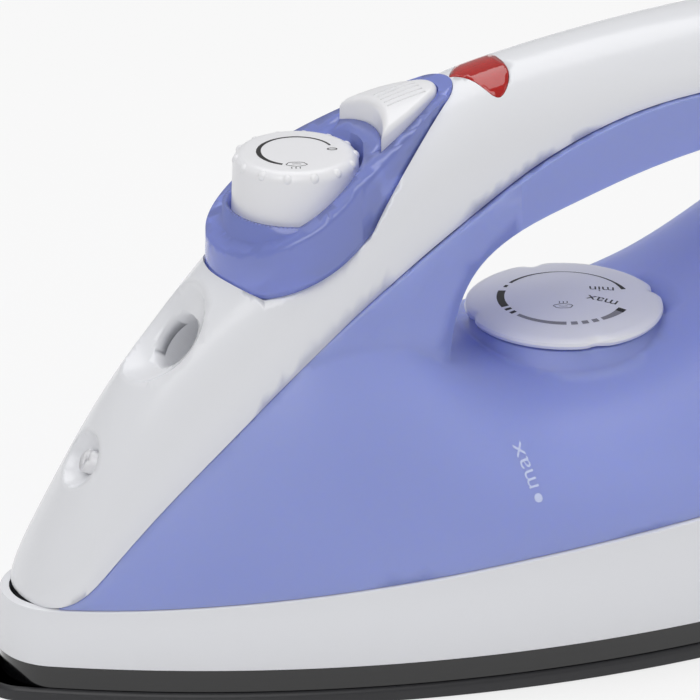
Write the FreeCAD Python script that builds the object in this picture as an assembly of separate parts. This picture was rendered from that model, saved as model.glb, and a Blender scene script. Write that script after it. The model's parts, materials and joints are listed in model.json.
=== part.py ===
"""Steam iron for clothes, in millimetres.

Frame: the sole rests on Z = 0, +Z is up, the nose points along -X and the iron is symmetrical about Y = 0.
The origin is at the middle of the iron's length. In this file x runs from the tip of the sole (x = 0) to the
end of the cord gland; save() moves each piece so that the origin ends up in the middle.
"""
import FreeCAD
import Part
import math
import os

V = FreeCAD.Vector

# ---- overall sizes --------------------------------------------------------------------------------------
MIDDLE_X = 132.6          # middle of the overall length, sole tip to end of cord gland
GAP = 0.15                # half of each parting line between two shells
FIT = 0.3                 # clearance round parts that sit loosely in a pocket
RUN = 0.05                # radial clearance of a shaft in its hole
WALL = 2.2                # wall of every moulded shell

# ---- plan outline, shared by sole, heat shield, skirt and tank ----------------------------------------------
HALF_WIDTH = 58.6         # widest half of the skirt
SIDE_RADIUS = 295.0       # long side arc of the plan
SIDE_CENTRE_X = 169.0     # where that arc has become parallel to x
REAR_X = 250.0            # flat rear edge of the skirt
REAR_CORNER = 28.0
NOSE_RADIUS = 16.0        # rounded tip of the skirt
SOLE_NOSE_RADIUS = 11.3   # the sole's tip is sharper and reaches further forward
SOLE_OUTSET = 0.2

# ---- levels -------------------------------------------------------------------------------------------------
SOLE_EDGE = 3.4           # visible edge of the sole
SOLE_CHAMFER = 0.9
SHIELD_TOP = 9.6          # top of the black heat shield, bottom of the white skirt
CASTING_TOP = 12.0        # top of the aluminium casting behind the shield
CASTING_INSET = 14.0
CHAMBER_INSET = 27.0      # wall of the steam chamber
CHAMBER_FLOOR = 5.0
COVER_T = 1.0             # sheet that closes the steam chamber
HEATER_INSET = 23.0
HEATER_R = 3.0
HEATER_Z = 7.6
FLANGE_T = 2.0            # inner flange of the skirt, clamped on the casting
FLANGE_INSET = 22.5
FLOOR_Z = 22.0            # underside of the tank floor
FLOOR_T = 2.0
TRAY_RISE = 11.0          # the floor's rim stands this far above the skirt's top edge
TRAY_CLEAR = 0.4
TRAY_END_X = 225.0
BULKHEAD_T = 1.6
VENT_R = 1.5
SKIRT_LEAN = 2.5          # how far the skirt leans inwards by SKIRT_LEAN_Z
SKIRT_LEAN_Z = 45.0

# ---- lines of the side view, as (x, z) stations ----------------------------------------------------------------
SKIRT_LINE = [(0, 24), (25, 24.4), (55, 26.5), (90, 29.8), (125, 33.5), (165, 36.8), (210, 39.5), (260, 42)]
SEAM_LINE = [(9, 24), (16, 24.8), (20, 26.6), (27, 33), (38, 44.3), (52, 57.5), (75, 78.5), (90, 90.2), (104, 99),
             (120, 108), (140, 118.6), (160, 125.5), (182, 128.7), (210, 127.5), (236, 120), (262, 108)]
SPINE_LINE = [(9.6, 24.6), (12, 29.5), (20, 44.2), (33, 66.5), (46, 82.8), (60, 97), (80, 113), (100, 126),
              (123, 136.3), (150, 141), (177, 143.6), (205, 144.2), (230, 141.4), (251, 135.5)]
BLADE_HALF = [(9.6, 1.2), (10.6, 6.6), (13, 11), (16.5, 14), (20, 15.5), (27, 16.3), (38, 17.3), (52, 18.8),
              (70, 21.0), (92, 21.2), (104, 20.0), (120, 18.4), (140, 17.2), (180, 16.8), (215, 17.4), (251, 18)]
BLADE_SQUARE = [(9.6, 2.1), (58, 2.1), (74, 2.8), (100, 2.8), (118, 2.2), (251, 2.1)]
# tank: (x, half width of the shoulder, its height, crown height, squareness of the plan curve)
TANK_STATIONS = [(14, 11.0, 25.6, 40, 2.0), (20, 15.5, 27.4, 42, 2.0), (27, 16.4, 33.2, 46, 2.0),
                 (38, 17.4, 44.6, 56, 2.0), (52, 18.9, 57.8, 70, 2.0), (75, 21.2, 78.2, 91, 2.0),
                 (90, 21.2, 82.3, 93, 2.0), (104, 20.4, 79.0, 85, 2.05), (118, 20.0, 69.8, 72.5, 2.15),
                 (132, 22.0, 64.6, 66.6, 2.3), (155, 25.0, 64.2, 66.4, 2.4), (176, 25.0, 66.6, 69.4, 2.4),
                 (194, 24.0, 73.0, 76.6, 2.3), (212, 24.0, 83.0, 88, 2.2), (228, 25.0, 91.0, 97, 2.2),
                 (238, 26.0, 94.0, 100, 2.2)]
TANK_FOOT = 14.0          # straight legs of the inner tray reach down to here
TANK_BASE_INSET = 0.7     # the tank's foot stands this far inside the skirt's top edge

# ---- handle opening ----------------------------------------------------------------------------------------------
OPENING = [(113.5, 58), (113.6, 72), (115.6, 85), (120.5, 94.5), (130, 101.5), (146, 106.8), (165, 111.6), (186, 115.0),
           (203, 115.4), (215, 111), (221, 101), (221, 88), (216, 70), (214, 58)]
OPENING_ROUND = 5.0       # rounding of the grip's lower edges

# ---- controls ------------------------------------------------------------------------------------------------------
KNOB_X = 83.0
KNOB_R = 14.9
KNOB_FOOT_R = 15.6
KNOB_TOP = 124.6
KNOB_FOOT = 104.2
KNOB_STUDS = 14
KNOB_STUD_R = 1.5
KNOB_SHAFT_R = 4.0
WELL_R = 16.2
WELL_FLOOR = 101.6
CUP_T = 1.2
COLLAR_R = 22.0           # the leaf-shaped collar is a circle round the knob, drawn out to a tail
COLLAR_TOP_R = 20.4
COLLAR_TAIL_R = 8.0
COLLAR_TAIL_X = 123.0     # rear end of the leaf
LEAF_BULGE = 0.8          # its sides bow outwards
COLLAR_FOOT_LINE = [(58, 93.5), (66, 94.8), (75, 98), (87, 104), (100, 113), (108, 120.5), (117, 129), (127, 135)]
COLLAR_TOP_LINE = [(58, 103), (66, 106.5), (77, 112), (90, 120.5), (102, 127), (112, 132), (122, 136.3), (127, 138)]
BUTTON_R = 20.4           # concave front of the button, concentric with the knob
BUTTON_HALF = 11.6
BUTTON_TAIL_X = 119.2
BUTTON_TAIL_R = 5.6
BUTTON_TOP_LINE = [(95, 130.5), (103.4, 133.4), (112, 135.4), (122, 136.8)]
BUTTON_FOOT = 124.3
BUTTON_TRAVEL = 4.0
BUTTON_WELL = 119.5
BUTTON_CROWN_R = 40.0
PUMP_X = 112.0
PUMP_R = 6.0
PUMP_BORE_R = 4.4
PUMP_FOOT = 98.5
PLUNGER_R = 1.8
PISTON_Z = 108.0
DIAL_X = 155.0
DIAL_R = 24.4
DIAL_TOP = 74.2
DIAL_FOOT = 69.6
DIAL_SCALLOPS = 5
BOSS_R = 23.4
BOSS_TOP = 69.3
SPINDLE_R = 3.0
SPINDLE_TUBE_R = 6.0
THERMOSTAT_R = 13.0
STEM_R = 1.6
STEM_LIFT = 3.0
LENS_X = (123.8, 136.2)
LENS_HALF = 10.6

# ---- nose openings ---------------------------------------------------------------------------------------------------
FILL_X = 48.0
FILL_SLOPE = 48.0         # the cover's slope there, in degrees
FILL_R = 7.2
FILL_DISH_R = 14.4        # round dish about the filler hole, and its depth
FILL_DISH_DEPTH = 6.4
FILL_DEPTH = 28.0
NOZZLE_X = 26.5
NOZZLE_SLOPE = 60.0
NOZZLE_R = 2.8
NOZZLE_DISH_R = 7.4
NOZZLE_DISH_DEPTH = 4.2
HOSE_R = 1.5
HOSE_Y = 12.3

# ---- rear --------------------------------------------------------------------------------------------------------------
JOIN_X = 238.0            # the rear cover closes the body from here
HEEL_ROUNDING = [(238, 0), (241, 0.2), (244, 0.9), (247, 2.2), (249, 3.8), (250, 5.6)]
HEEL_SCREW_Y = 24.0
HEEL_SCREW_Z = 58.0
GLAND_X = 240.0
GLAND_Z = 116.0
GLAND_TILT = 35.0
GLAND_REACH = 26.0
BALL_R = 9.0
GLAND_TUBE_R = 5.6
GLAND_BORE_R = 3.6
TRUNNION_R = 3.0
SWING_UP = 40.0
SWING_DOWN = 35.0
SCREW_R = 1.6
SCREW_HEAD_R = 3.4
SCREW_HEAD_H = 2.2


# ---- helpers -------------------------------------------------------------------------------------------------------------
def along(stations, x, column=1):
    """Value at x of a smooth curve through the stations."""
    pts = [(s[0], s[column]) for s in stations]
    if x <= pts[0][0]:
        return pts[0][1]
    if x >= pts[-1][0]:
        return pts[-1][1]
    i = max(k for k in range(len(pts) - 1) if pts[k][0] <= x)

    def slope(k):
        if k == 0 or k == len(pts) - 1:
            a, b = (0, 1) if k == 0 else (len(pts) - 2, len(pts) - 1)
            return (pts[b][1] - pts[a][1]) / (pts[b][0] - pts[a][0])
        left = (pts[k][1] - pts[k - 1][1]) / (pts[k][0] - pts[k - 1][0])
        right = (pts[k + 1][1] - pts[k][1]) / (pts[k + 1][0] - pts[k][0])
        span = pts[k + 1][0] - pts[k - 1][0]
        return (left * (pts[k + 1][0] - pts[k][0]) + right * (pts[k][0] - pts[k - 1][0])) / span

    (x0, y0), (x1, y1) = pts[i], pts[i + 1]
    h = x1 - x0
    t = (x - x0) / h
    return (y0 * (1 + 2 * t) * (1 - t) ** 2 + slope(i) * h * t * (1 - t) ** 2
            + y1 * t * t * (3 - 2 * t) + slope(i + 1) * h * t * t * (t - 1))


def spline(points):
    curve = Part.BSplineCurve()
    curve.interpolate([V(*p) for p in points])
    return curve.toShape()


def line(a, b):
    return Part.LineSegment(V(*a), V(*b)).toShape()


def arc(a, m, b):
    return Part.Arc(V(*a), V(*m), V(*b)).toShape()


def cyl(r, h, base, axis=(0, 0, 1)):
    return Part.makeCylinder(r, h, V(*base), V(*axis))


def box(x0, x1, y0, y1, z0, z1):
    return Part.makeBox(x1 - x0, y1 - y0, z1 - z0, V(x0, y0, z0))


def fuse(shapes):
    shapes = list(shapes)
    out = shapes[0].multiFuse(shapes[1:]) if len(shapes) > 1 else shapes[0]
    return out.removeSplitter()


def solids(shape):
    return Part.makeCompound(shape.Solids)


def biggest(shape):
    return max(shape.Solids, key=lambda s: s.Volume)


def save(name, shape):
    shape = shape.copy()
    shape.translate(V(-MIDDLE_X, 0, 0))
    parts = shape.Solids
    bad = [s for s in parts if not s.isValid() or s.Volume <= 0]
    print(f"{name:24s} solids {len(parts)}  volume {sum(s.Volume for s in parts):10.1f}" + ("  INVALID" if bad else ""))
    os.makedirs("parts", exist_ok=True)
    out = parts[0] if len(parts) == 1 else Part.makeCompound(parts)
    out.exportStep(f"parts/{name}.step")


def outline(inset, z, nose_radius=NOSE_RADIUS, rear_x=REAR_X):
    """Plan outline of the iron, a parallel curve inset from the skirt's foot."""
    big_r, tip_r = SIDE_RADIUS - inset, nose_radius - inset
    centre_y = SIDE_RADIUS - HALF_WIDTH
    nose_x = SIDE_CENTRE_X - math.sqrt((SIDE_RADIUS - nose_radius) ** 2 - centre_y ** 2)
    angle = math.atan2(centre_y, SIDE_CENTRE_X - nose_x)      # direction from the nose centre to the side's centre
    corner_x, corner_y = rear_x - REAR_CORNER, HALF_WIDTH - REAR_CORNER
    corner_r = REAR_CORNER - inset
    touch = (nose_x - tip_r * math.cos(angle), tip_r * math.sin(angle))
    middle = (math.pi / 2 + angle) / 2
    side_mid = (SIDE_CENTRE_X - big_r * math.cos(middle), big_r * math.sin(middle) - centre_y)
    diagonal = corner_r * math.sqrt(0.5)
    half = HALF_WIDTH - inset

    def run(s):
        return [arc((touch[0], s * touch[1], z), (side_mid[0], s * side_mid[1], z), (SIDE_CENTRE_X, s * half, z)),
                line((SIDE_CENTRE_X, s * half, z), (corner_x, s * half, z)),
                arc((corner_x, s * half, z), (corner_x + diagonal, s * (corner_y + diagonal), z),
                    (rear_x - inset, s * corner_y, z))]

    nose = arc((touch[0], touch[1], z), (nose_x - tip_r, 0, z), (touch[0], -touch[1], z))
    rear = line((rear_x - inset, corner_y, z), (rear_x - inset, -corner_y, z))
    return Part.Wire(Part.__sortEdges__([nose] + run(-1) + [rear] + run(1)))


def plate(inset, z0, z1, inset_top=None, **kw):
    """Solid between two parallel outlines."""
    top = inset if inset_top is None else inset_top
    return Part.makeLoft([outline(inset, z0, **kw), outline(top, z1, **kw)], True, True)


def half_space(stations, shift, above):
    """Everything above (or below) a line of the side view, moved by shift."""
    x0, x1, far = -10.0, 300.0, 90.0
    xs = [stations[0][0] + (stations[-1][0] - stations[0][0]) * i / 28 for i in range(29)]
    top = [(x0, 0, stations[0][1] + shift)] + [(x, 0, along(stations, x) + shift) for x in xs]
    edge = [line(top[0], top[1]), spline(top[1:]), line(top[-1], (x1, 0, top[-1][2]))]
    z_far = 220.0 if above else -40.0
    corners = [(x1, 0, top[-1][2]), (x1, 0, z_far), (x0, 0, z_far), top[0]]
    edge += [line(corners[i], corners[i + 1]) for i in range(3)]
    face = Part.Face(Part.Wire(edge))
    face.translate(V(0, -far, 0))
    return face.extrude(V(0, 2 * far, 0))


def arch(x, half, base, top, power_y, power_z, foot, points=13):
    """Section across the iron: a superellipse arch that stands on vertical legs down to foot."""
    pts = []
    for i in range(points):
        a = math.pi * i / (points - 1)
        c, s = math.cos(a), math.sin(a)
        y = half * math.copysign(abs(c) ** (2 / power_y), c)
        pts.append((x, y, base + (top - base) * abs(s) ** (2 / power_z)))
    legs = [line((x, half, foot), (x, half, base)), spline(pts), line((x, -half, base), (x, -half, foot)),
            line((x, -half, foot), (x, half, foot))]
    return Part.Wire(legs)


def skirt_half(x, z):
    """Half width of the leaning skirt at x and height z."""
    inset = SKIRT_LEAN * (z - SHIELD_TOP) / (SKIRT_LEAN_Z - SHIELD_TOP)
    big_r, tip_r = SIDE_RADIUS - inset, NOSE_RADIUS - inset
    centre_y = SIDE_RADIUS - HALF_WIDTH
    nose_x = SIDE_CENTRE_X - math.sqrt((SIDE_RADIUS - NOSE_RADIUS) ** 2 - centre_y ** 2)
    angle = math.atan2(centre_y, SIDE_CENTRE_X - nose_x)
    if x < nose_x - tip_r * math.cos(angle):
        return math.sqrt(max(tip_r ** 2 - (nose_x - x) ** 2, 0.01))
    if x < SIDE_CENTRE_X:
        return math.sqrt(big_r ** 2 - (SIDE_CENTRE_X - x) ** 2) - centre_y
    corner_x = REAR_X - REAR_CORNER
    if x < corner_x:
        return HALF_WIDTH - inset
    reach = max((REAR_CORNER - inset) ** 2 - (x - corner_x) ** 2, 0.01)
    return HALF_WIDTH - REAR_CORNER + math.sqrt(reach)


def tank_volume(inset):
    """Outer (inset 0) or inner volume of the water tank."""
    wires = []
    for x, ys, zs, crown, power in TANK_STATIONS:
        base = along(SKIRT_LINE, x)
        half = skirt_half(x, base) - TANK_BASE_INSET
        ys = min(ys, half - 0.6)
        share = (zs - base) / (crown - base)
        power_z = math.log(1 - (ys / half) ** power) / math.log(share)
        wires.append(arch(x, half - inset, base, crown - inset, power, power_z, TANK_FOOT))
    return Part.makeLoft(wires, True, False)


def blade_wire(x, inset, upper):
    """Section of the nose and handle: the arch above the seam, or the straight flank below it."""
    half = along(BLADE_HALF, x) - inset
    seam, top = along(SEAM_LINE, x), along(SPINE_LINE, x) - inset
    top = max(top, seam + 0.4)
    if upper:
        return arch(x, half, seam, top, 2.35, along(BLADE_SQUARE, x), seam - 6 - inset)
    half -= along(FLANK_TUCK, x)
    z = seam + 4
    low = 30.0
    corners = [(x, half, low), (x, half, z), (x, -half, z), (x, -half, low)]
    return Part.Wire([line(corners[i], corners[(i + 1) % 4]) for i in range(4)])


BLADE_XS = [9.6, 10.6, 13, 16.5, 20, 27, 38, 52, 66, 80, 94, 108, 123, 140, 160, 182, 205, 228, 238]
FLANK_XS = [64, 72, 80, 94, 108, 123, 140, 160, 182, 205, 228, 238]
FLANK_TUCK = [(64, 1.8), (72, 0.8), (80, 0.0), (238, 0.0)]     # the flank comes out of the tank near x = 78


def blade(inset, upper):
    xs = BLADE_XS if upper else FLANK_XS
    if inset:
        xs = [x for x in xs if x > 12] if upper else xs
    return Part.makeLoft([blade_wire(x, inset, upper) for x in xs], True, False)


def prism_xz(points, half, closed_spline=False):
    """Side-view outline through the points, extruded across the iron."""
    pts = [(x, -half, z) for x, z in points]
    edges = [spline(pts), line(pts[-1], pts[0])]
    return Part.Face(Part.Wire(edges)).extrude(V(0, 2 * half, 0))


def opening(offset=0.0):
    """The finger opening, as wide as the whole iron, grown all round by offset."""
    pts = []
    for i, (x, z) in enumerate(OPENING):
        before, after = OPENING[max(i - 1, 0)], OPENING[min(i + 1, len(OPENING) - 1)]
        dx, dz = after[0] - before[0], after[1] - before[1]
        size = math.hypot(dx, dz)
        pts.append((x - offset * dz / size, -80, z + offset * dx / size))
    face = Part.Face(Part.Wire([spline(pts), line(pts[-1], pts[0])]))
    return face.extrude(V(0, 160, 0))


def pin(x, y, z0, z1, r):
    return cyl(r, z1 - z0, (x, y, z0))


# ---- base ------------------------------------------------------------------------------------------------------------------
CHAMBER_POSTS = [(58, 0), (118, 17), (118, -17), (206, 0)]
BASE_SCREWS = [(36, 0), (214, 41), (214, -41)]
CASTING_TOP_IN = CASTING_TOP + COVER_T


def heater_path():
    """U-shaped line of the heater, open at the rear, its ends bent upwards."""
    z, inset = HEATER_Z, HEATER_INSET
    full = outline(inset, z, nose_radius=NOSE_RADIUS + 20)
    corner_x = REAR_X - REAR_CORNER
    keep = [e for e in full.Edges if e.CenterOfMass.x < corner_x - 1]
    edges = list(keep)
    bend = 6.0
    for s in (1, -1):
        y = s * (HALF_WIDTH - inset)
        edges.append(arc((corner_x, y, z), (corner_x + bend * math.sin(math.pi / 4), y,
                         z + bend * (1 - math.cos(math.pi / 4))), (corner_x + bend, y, z + bend)))
        edges.append(line((corner_x + bend, y, z + bend), (corner_x + bend, y, z + bend + 5)))
    return Part.Wire(Part.__sortEdges__(edges)), (corner_x + bend, HALF_WIDTH - inset, z + bend + 5)


def tube_along(wire, r):
    start = wire.OrderedVertexes[0].Point
    tangent = wire.OrderedEdges[0].tangentAt(wire.OrderedEdges[0].FirstParameter)
    first = wire.OrderedEdges[0]
    if (first.valueAt(first.FirstParameter) - start).Length > 0.01:
        tangent = first.tangentAt(first.LastParameter)
    ring = Part.Wire(Part.makeCircle(r, start, tangent))
    return wire.makePipeShell([ring], True, False, 2)


def vent_points():
    points = []
    for i in range(11):
        x = 56 + 14 * i
        y = skirt_half(x, SHIELD_TOP) - CHAMBER_INSET - 4
        if y > 4:
            points += [(x, y), (x, -y)]
        else:
            points.append((x + 4, 0))
    return points


def soleplate():
    sole = plate(-SOLE_OUTSET, 0, SOLE_EDGE - 1, nose_radius=SOLE_NOSE_RADIUS)
    bevel = plate(-SOLE_OUTSET, SOLE_EDGE - 1, SOLE_EDGE, 0.8, nose_radius=SOLE_NOSE_RADIUS)
    casting = plate(CASTING_INSET, SOLE_EDGE, CASTING_TOP)
    body = fuse([sole, bevel, casting])
    posts = [pin(x, y, CHAMBER_FLOOR, CASTING_TOP, 4) for x, y in CHAMBER_POSTS]
    chamber = plate(CHAMBER_INSET, CHAMBER_FLOOR, CASTING_TOP + 1, nose_radius=NOSE_RADIUS + 20).cut(fuse(posts))
    body = body.cut(chamber)
    body = body.cut(tube_along(heater_path()[0], HEATER_R))
    holes = [pin(x, y, -1, CHAMBER_FLOOR + 1, VENT_R) for x, y in vent_points()]
    holes += [pin(x, y, CASTING_TOP - 7, CASTING_TOP + 1, SCREW_R) for x, y in CHAMBER_POSTS + BASE_SCREWS]
    return biggest(body.cut(fuse(holes)))


def screw(x, y, seat, length):
    head = pin(x, y, seat, seat + SCREW_HEAD_H, SCREW_HEAD_R)
    slot = box(x - SCREW_HEAD_R - 1, x + SCREW_HEAD_R + 1, y - 0.4, y + 0.4, seat + SCREW_HEAD_H - 0.9, seat + 9)
    return fuse([head, pin(x, y, seat - length, seat, SCREW_R)]).cut(slot)


def steam_chamber_cover():
    sheet = plate(CHAMBER_INSET - 2.4, CASTING_TOP, CASTING_TOP + COVER_T, nose_radius=NOSE_RADIUS + 20)
    holes = [pin(x, y, 0, 30, SCREW_R + FIT) for x, y in CHAMBER_POSTS] + [pin(KNOB_X, 0, 0, 30, 4.0)]
    return sheet.cut(fuse(holes))


def heat_shield():
    band = plate(1.0, SOLE_EDGE, SHIELD_TOP, 0.7)
    inner = plate(3.2, SOLE_EDGE, CASTING_TOP)
    return fuse([band, inner]).cut(plate(CASTING_INSET - FIT, SOLE_EDGE - 1, CASTING_TOP + 1))


def base_skirt():
    outer = plate(0, SHIELD_TOP, SKIRT_LEAN_Z, SKIRT_LEAN).common(half_space(SKIRT_LINE, -GAP, False))
    inner = plate(WALL, SHIELD_TOP - 1, SKIRT_LEAN_Z + 1, WALL + SKIRT_LEAN * 1.05)
    wall = outer.cut(inner)
    flange = plate(0.6, CASTING_TOP, CASTING_TOP + FLANGE_T, 0.8)
    flange = flange.cut(plate(FLANGE_INSET, 0, 60, nose_radius=NOSE_RADIUS + 14))
    body = fuse([wall, flange])
    holes = [pin(x, y, 0, 30, SCREW_R + FIT) for x, y in BASE_SCREWS]
    slots = [box(REAR_X - REAR_CORNER + 6 - 6, REAR_X - REAR_CORNER + 12, y - 5, y + 5, 0, 30)
             for y in (HALF_WIDTH - HEATER_INSET, HEATER_INSET - HALF_WIDTH)]
    return biggest(body.cut(fuse(holes + slots)))


# ---- tank ----------------------------------------------------------------------------------------------------------------------
def body_volume(inset):
    """Tank with the flanks of nose and handle, without the finger opening."""
    flank = blade(inset, False).cut(opening(inset))
    return tank_volume(inset).fuse(flank)


def tank_shell():
    edge = opening()
    flank = blade(0, False).cut(edge)
    outer = tank_volume(0).fuse(flank).common(half_space(SEAM_LINE, -GAP, False))
    outer = outer.common(half_space(SKIRT_LINE, GAP, True)).common(box(0, JOIN_X, -90, 90, 0, 200))
    boss = pin(DIAL_X, 0, 60, BOSS_TOP, BOSS_R)
    outer = outer.fuse(boss).cut(pin(DIAL_X, 0, BOSS_TOP, BOSS_TOP + 30, DIAL_R + 0.8))
    body = outer.cut(body_volume(WALL))
    body = body.cut(pin(DIAL_X, 0, 40, 90, SPINDLE_R + RUN))
    return biggest(body)


def tank_lid():
    """Strip inside the nose that closes the tank below the white cover."""
    band = half_space(SEAM_LINE, -5.0, True).common(half_space(SEAM_LINE, -3.2, False))
    spare = WALL + 2 * TRAY_CLEAR
    halves = [(x, along(BLADE_HALF, x) - spare) for x in (32, 44, 58, 72, 88, 104, 119)]
    edge = [(x, y, 0) for x, y in halves]
    mirror = [(x, -y, 0) for x, y, z in reversed(edge)]
    plan = Part.Wire([spline(edge), line(edge[-1], mirror[0]), spline(mirror), line(mirror[-1], edge[0])])
    lid = Part.Face(plan).extrude(V(0, 0, 200)).common(band).cut(opening(WALL + TRAY_CLEAR))
    holes = [filler_axis_cylinder(FILL_R + 1.8 + FIT, -2, FILL_DEPTH + 2), pin(KNOB_X, 0, 60, 110, STEM_R + RUN),
             pin(PUMP_X, 0, 60, 130, PUMP_R + FIT)]
    return biggest(lid.cut(fuse(holes)))


def tank_floor():
    rim_line = half_space(SKIRT_LINE, TRAY_RISE, False)
    clip = box(0, TRAY_END_X, -90, 90, FLOOR_Z, 200)
    outer = tank_volume(WALL + TRAY_CLEAR)
    inner = tank_volume(2 * WALL + TRAY_CLEAR).common(box(0, TRAY_END_X - BULKHEAD_T, -90, 90, FLOOR_Z + FLOOR_T, 200))
    tray = outer.common(rim_line).common(half_space(SEAM_LINE, -1.0, False)).common(clip).cut(inner)
    wall = body_volume(WALL + TRAY_CLEAR).common(box(TRAY_END_X - BULKHEAD_T, TRAY_END_X, -90, 90, FLOOR_Z, 104))
    tube = pin(DIAL_X, 0, FLOOR_Z, 90, SPINDLE_TUBE_R).common(tank_volume(WALL + GAP))
    bosses = [cyl(4, JOIN_X - TRAY_END_X + 1, (TRAY_END_X - 1, y, HEEL_SCREW_Z), (1, 0, 0)) for y in (-HEEL_SCREW_Y, HEEL_SCREW_Y)]
    body = fuse([tray, wall, tube] + bosses)
    holes = [pin(DIAL_X, 0, 0, 100, SPINDLE_R + 1.0), pin(KNOB_X, 0, 0, 60, 4.0)]
    holes += [cyl(SCREW_R, 12, (JOIN_X - 11, y, HEEL_SCREW_Z), (1, 0, 0)) for y in (-HEEL_SCREW_Y, HEEL_SCREW_Y)]
    return biggest(body.cut(fuse(holes)))


# ---- white cover ------------------------------------------------------------------------------------------------------------------
def normal_axis(slope):
    a = math.radians(slope)
    return V(-math.sin(a), 0, math.cos(a))


def on_spine(x):
    return V(x, 0, along(SPINE_LINE, x))


def filler_axis_cylinder(r, start, depth):
    """Cylinder along the filler's axis, from start to depth below the cover's surface."""
    n = normal_axis(FILL_SLOPE)
    base = on_spine(FILL_X) - n * depth
    return Part.makeCylinder(r, depth - start, base, n)


def nozzle_axis_cylinder(r, start, depth):
    n = normal_axis(NOZZLE_SLOPE)
    base = on_spine(NOZZLE_X) - n * depth
    return Part.makeCylinder(r, depth - start, base, n)


def dish_ball(x, slope, mouth, depth):
    """Ball that cuts a dish of that mouth radius and depth into the cover."""
    r = (mouth ** 2 + depth ** 2) / (2 * depth)
    return Part.makeSphere(r, on_spine(x) + normal_axis(slope) * (r - depth))


def leaf(grow, z0, z1, r=COLLAR_R, r_top=None):
    """Upright leaf-shaped prism round knob and button."""
    wires = []
    for z, radius in ((z0, r), (z1, r if r_top is None else r_top)):
        a, b = radius + grow, COLLAR_TAIL_R + grow
        far = COLLAR_TAIL_X - COLLAR_TAIL_R
        t = math.acos((a - b) / (far - KNOB_X))
        p = [(KNOB_X + a * math.cos(t), a * math.sin(t)), (far + b * math.cos(t), b * math.sin(t))]
        mid = ((p[0][0] + p[1][0]) / 2 + LEAF_BULGE * math.cos(t), (p[0][1] + p[1][1]) / 2 + LEAF_BULGE * math.sin(t))
        wires.append(Part.Wire([arc((p[0][0], p[0][1], z), (KNOB_X - a, 0, z), (p[0][0], -p[0][1], z)),
                                arc((p[0][0], -p[0][1], z), (mid[0], -mid[1], z), (p[1][0], -p[1][1], z)),
                                arc((p[1][0], -p[1][1], z), (far + b, 0, z), (p[1][0], p[1][1], z)),
                                arc((p[1][0], p[1][1], z), (mid[0], mid[1], z), (p[0][0], p[0][1], z))]))
    return Part.makeLoft(wires, True, True)


def button_prism(grow, z0, z1):
    """Upright prism with the button's outline."""
    a = BUTTON_HALF + grow
    r = BUTTON_R - grow
    x_a = KNOB_X + math.sqrt(r * r - a * a)
    b = BUTTON_TAIL_R + grow
    far = BUTTON_TAIL_X - BUTTON_TAIL_R
    side = math.atan2(a - b, far - x_a)
    tail = (far + b * math.sin(side), b * math.cos(side))
    mid = ((x_a + tail[0]) / 2 + LEAF_BULGE * math.sin(side), (a + tail[1]) / 2 + LEAF_BULGE * math.cos(side))
    wire = Part.Wire([arc((x_a, -a, z0), (KNOB_X + r, 0, z0), (x_a, a, z0)),
                      arc((x_a, a, z0), (mid[0], mid[1], z0), (tail[0], tail[1], z0)),
                      arc((tail[0], tail[1], z0), (far + b, 0, z0), (tail[0], -tail[1], z0)),
                      arc((tail[0], -tail[1], z0), (mid[0], -mid[1], z0), (x_a, -a, z0))])
    return Part.Face(wire).extrude(V(0, 0, z1 - z0))


def lens_prism(grow):
    x0, x1 = LENS_X[0] - grow, LENS_X[1] + grow
    half = LENS_HALF + grow
    pts = [(x0, 0), (x0 + 3.4, -half * 0.5), (x0 + 7.6, -half), (x1 - 1.2, -half * 0.72), (x1, 0)]
    pts += [(x, -y) for x, y in reversed(pts[1:-1])]
    curve = Part.BSplineCurve()
    curve.interpolate([V(x, y, 110) for x, y in pts], PeriodicFlag=True)
    return Part.Face(Part.Wire(curve.toShape())).extrude(V(0, 0, 60))


def upper_cover():
    shell = blade(0, True).common(half_space(SEAM_LINE, GAP, True)).common(box(0, JOIN_X, -60, 60, 0, 200))
    body = shell.cut(blade(WALL, True))
    pad = filler_axis_cylinder(FILL_DISH_R + 1.0, -1, FILL_DISH_DEPTH + WALL).common(shell)
    pad2 = nozzle_axis_cylinder(NOZZLE_DISH_R + 1.0, -1, NOZZLE_DISH_DEPTH + WALL).common(shell)
    body = body.fuse(pad).fuse(pad2)
    dish = dish_ball(FILL_X, FILL_SLOPE, FILL_DISH_R, FILL_DISH_DEPTH)
    dimple = dish_ball(NOZZLE_X, NOZZLE_SLOPE, NOZZLE_DISH_R, NOZZLE_DISH_DEPTH)
    cuts = [dish, dimple, filler_axis_cylinder(FILL_R, -20, 40),
            nozzle_axis_cylinder(NOZZLE_R + GAP, -20, 20),
            leaf(GAP, 80, 160).common(half_space(COLLAR_FOOT_LINE, -GAP, True)),
            pin(KNOB_X, 0, 95, 120, WELL_R + CUP_T + GAP), lens_prism(GAP)]
    for c in cuts:
        body = body.cut(c)
    return biggest(body)


def filler_throat():
    """Blue funnel below the filler hole."""
    start = FILL_DISH_DEPTH + WALL
    flange = filler_axis_cylinder(FILL_R + 4, start, start + 1.6).common(blade(WALL + FIT, True))
    tube = fuse([flange, filler_axis_cylinder(FILL_R + 1.8, start, FILL_DEPTH)])
    return biggest(tube.cut(filler_axis_cylinder(FILL_R, -20, FILL_DEPTH + 5)))


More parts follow.
